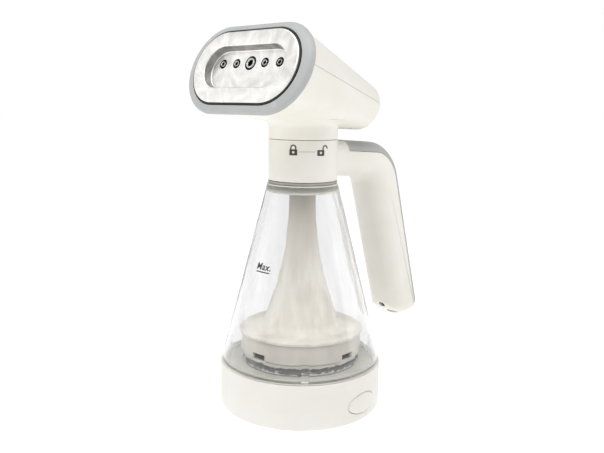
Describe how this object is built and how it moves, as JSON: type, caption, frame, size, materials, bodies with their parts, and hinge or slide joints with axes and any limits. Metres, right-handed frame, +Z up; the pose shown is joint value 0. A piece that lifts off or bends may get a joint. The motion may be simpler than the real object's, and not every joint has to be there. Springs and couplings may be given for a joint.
{
  "type": "garment steamer",
  "caption": "Handheld garment steamer with a clear conical water tank on a round base, a tilted steam head with a metal plate, and a looped-back handle.",
  "frame": {"origin": "centre of the flat rubber pad under the base", "axes": "+Z up, along the tank's axis; -Y is the side the steam plate faces; +Y is the handle's side; +X is to the right when looking along +Y"},
  "size_m": [0.1098, 0.1888, 0.2453],
  "materials": {
    "ivory_plastic": "satin moulded",
    "pale_grey_plastic": "matt moulded",
    "mid_grey_plastic": "satin moulded",
    "clear_plastic": "clear polished",
    "milky_plastic": "translucent satin",
    "hose_plastic": "silicone",
    "black_plastic": "matt moulded",
    "dark_rubber": "matt",
    "cast_aluminium": "cast and brushed",
    "steel": "bright",
    "board_green": "coated board"
  },
  "bodies": {
    "base_body": {"non_slip_pad": "dark_rubber", "base_cup": "ivory_plastic", "base_deck": "ivory_plastic", "base_screw_1": "steel", "base_screw_2": "steel", "base_screw_3": "steel", "base_screw_4": "steel", "release_spring_right": "steel", "release_spring_left": "steel", "cone_gasket": "dark_rubber", "cone_support_ring": "pale_grey_plastic", "inner_cone": "milky_plastic", "tank_shell": "clear_plastic", "neck_seal": "dark_rubber", "mouth_gasket": "dark_rubber"},
    "right_release": {"release_button_right": "ivory_plastic", "latch_hook_right": "pale_grey_plastic"},
    "left_release": {"release_button_left": "ivory_plastic", "latch_hook_left": "pale_grey_plastic"},
    "handset": {"handle_inner_shell": "ivory_plastic", "handle_cover": "mid_grey_plastic", "bayonet_ring": "pale_grey_plastic", "handle_screw": "steel", "control_board": "board_green", "microswitch": "black_plastic", "steam_button_spring": "steel", "indicator_lens": "milky_plastic", "pump": "black_plastic", "cord_gland": "black_plastic", "head_lower_shell": "ivory_plastic", "head_upper_shell": "ivory_plastic", "neck_screw_1": "steel", "neck_screw_2": "steel", "neck_screw_3": "steel", "head_screw_left": "steel", "head_screw_right": "steel", "bezel": "mid_grey_plastic", "plate_gasket": "black_plastic", "steam_plate": "cast_aluminium", "nozzle_1": "steel", "nozzle_2": "steel", "nozzle_3": "steel", "nozzle_4": "steel", "nozzle_5": "steel", "steam_chamber": "cast_aluminium", "heating_element": "steel", "thermostat": "steel", "thermal_fuse": "pale_grey_plastic", "tank_connector": "pale_grey_plastic", "suction_tube": "hose_plastic", "suction_filter": "pale_grey_plastic", "inlet_hose": "hose_plastic", "outlet_hose": "hose_plastic"},
    "steam_key": {"steam_button": "mid_grey_plastic"}
  },
  "joints": [
    {"name": "bayonet_twist", "type": "hinge", "parent": "base_body", "child": "handset", "pos_m": [0, 0, 0.15], "axis": [0, 0, 1], "range_deg": [-49, 0]},
    {"name": "right_release_press", "type": "slide", "parent": "base_body", "child": "right_release", "axis": [-1, 0, 0], "range_m": [0, 0.0025], "stiffness_N_per_m": 1200, "springref_m": -0.002, "deforming": ["release_spring_right"]},
    {"name": "left_release_press", "type": "slide", "parent": "base_body", "child": "left_release", "axis": [1, 0, 0], "range_m": [0, 0.0025], "stiffness_N_per_m": 1200, "springref_m": -0.002, "deforming": ["release_spring_left"]},
    {"name": "steam_key_press", "type": "slide", "parent": "handset", "child": "steam_key", "axis": [0, -0.9511, -0.309], "range_m": [0, 0.0015], "stiffness_N_per_m": 1500, "springref_m": -0.001, "deforming": ["steam_button_spring"]}
  ]
}
